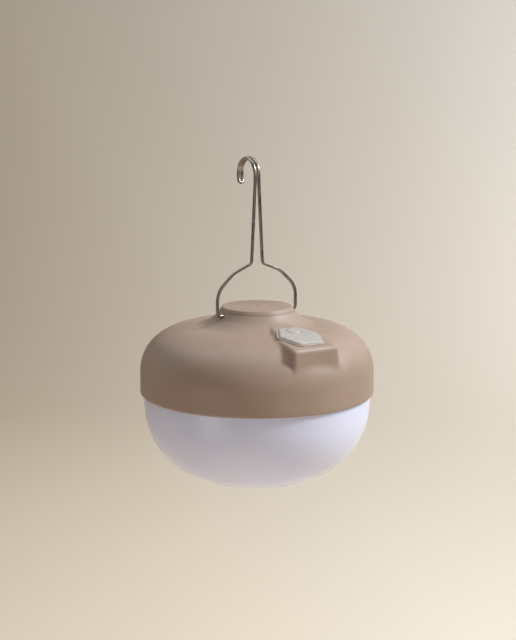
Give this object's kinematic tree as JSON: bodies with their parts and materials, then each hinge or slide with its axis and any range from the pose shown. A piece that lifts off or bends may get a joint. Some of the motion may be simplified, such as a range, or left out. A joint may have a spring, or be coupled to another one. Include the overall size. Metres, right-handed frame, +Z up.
{
  "type": "camping lantern",
  "caption": "Hanging camping lantern: domed housing with a control boss, milky bowl, and a wire bail that swings on its neck and ends in a hook.",
  "frame": {"origin": "centre of the bowl's flat base", "axes": "+Z up through the hook, -Y towards the control boss, X along the bail pivot"},
  "size_m": [0.2, 0.2, 0.2749],
  "materials": {
    "housing_plastic": "fine satin moulded texture, taupe",
    "milky_plastic": "milky translucent, smooth and glossy",
    "pad_silicone": "smooth silicone, warm light grey",
    "seal_silicone": "soft matte silicone",
    "wire_steel": "drawn steel wire",
    "bush_plastic": "dark acetal",
    "circuit_board": "green solder mask",
    "screw_steel": "zinc-plated steel",
    "black_plastic": "black moulded plastic",
    "socket_steel": "stamped steel shell",
    "light_lens": "phosphor-coated light",
    "white_plastic": "white reflecting plastic",
    "light_board_aluminium": "white-coated aluminium-core board",
    "cell_wrap": "metal can in a shrink wrap",
    "strip_nickel": "nickel strip",
    "strap_steel": "thin galvanised strip",
    "lead_insulation": "red insulated lead"
  },
  "bodies": {
    "housing": {"upper_housing": "housing_plastic", "top_cap": "housing_plastic", "diffuser": "milky_plastic", "diffuser_gasket": "seal_silicone", "control_pad": "pad_silicone", "bail_bush_left": "bush_plastic", "bail_bush_right": "bush_plastic", "control_board": "circuit_board", "control_board_screws": "screw_steel", "switch_body": "black_plastic", "usb_socket": "socket_steel", "status_light": "light_lens", "driver_parts": "black_plastic", "lead_sockets": "white_plastic", "carrier_plate": "white_plastic", "carrier_screws": "screw_steel", "light_board": "light_board_aluminium", "light_board_screws": "screw_steel", "lights": "light_lens", "battery_cells": "cell_wrap", "battery_cradle": "black_plastic", "battery_strips": "strip_nickel", "battery_strap": "strap_steel", "strap_screws": "screw_steel", "protection_board": "circuit_board", "battery_lead": "lead_insulation", "light_lead": "lead_insulation"},
    "bail": {"bail": "wire_steel"},
    "button": {"power_button": "pad_silicone", "switch_plunger": "black_plastic"},
    "flap": {"port_flap": "pad_silicone"}
  },
  "joints": [
    {"name": "bail_swing", "type": "hinge", "parent": "housing", "child": "bail", "pos_m": [0, 0, 0.1432], "axis": [-1, 0, 0], "range_deg": [-70, 95]},
    {"name": "button_press", "type": "slide", "parent": "housing", "child": "button", "axis": [0, 0.1702, -0.9854], "range_m": [0, 0.0006], "stiffness_N_per_m": 1500, "springref_m": -0.0004},
    {"name": "flap_bend", "type": "hinge", "parent": "housing", "child": "flap", "pos_m": [0, -0.06602, 0.13557], "axis": [-1, 0, 0], "range_deg": [0, 110], "stiffness_Nm_per_rad": 0.002}
  ]
}
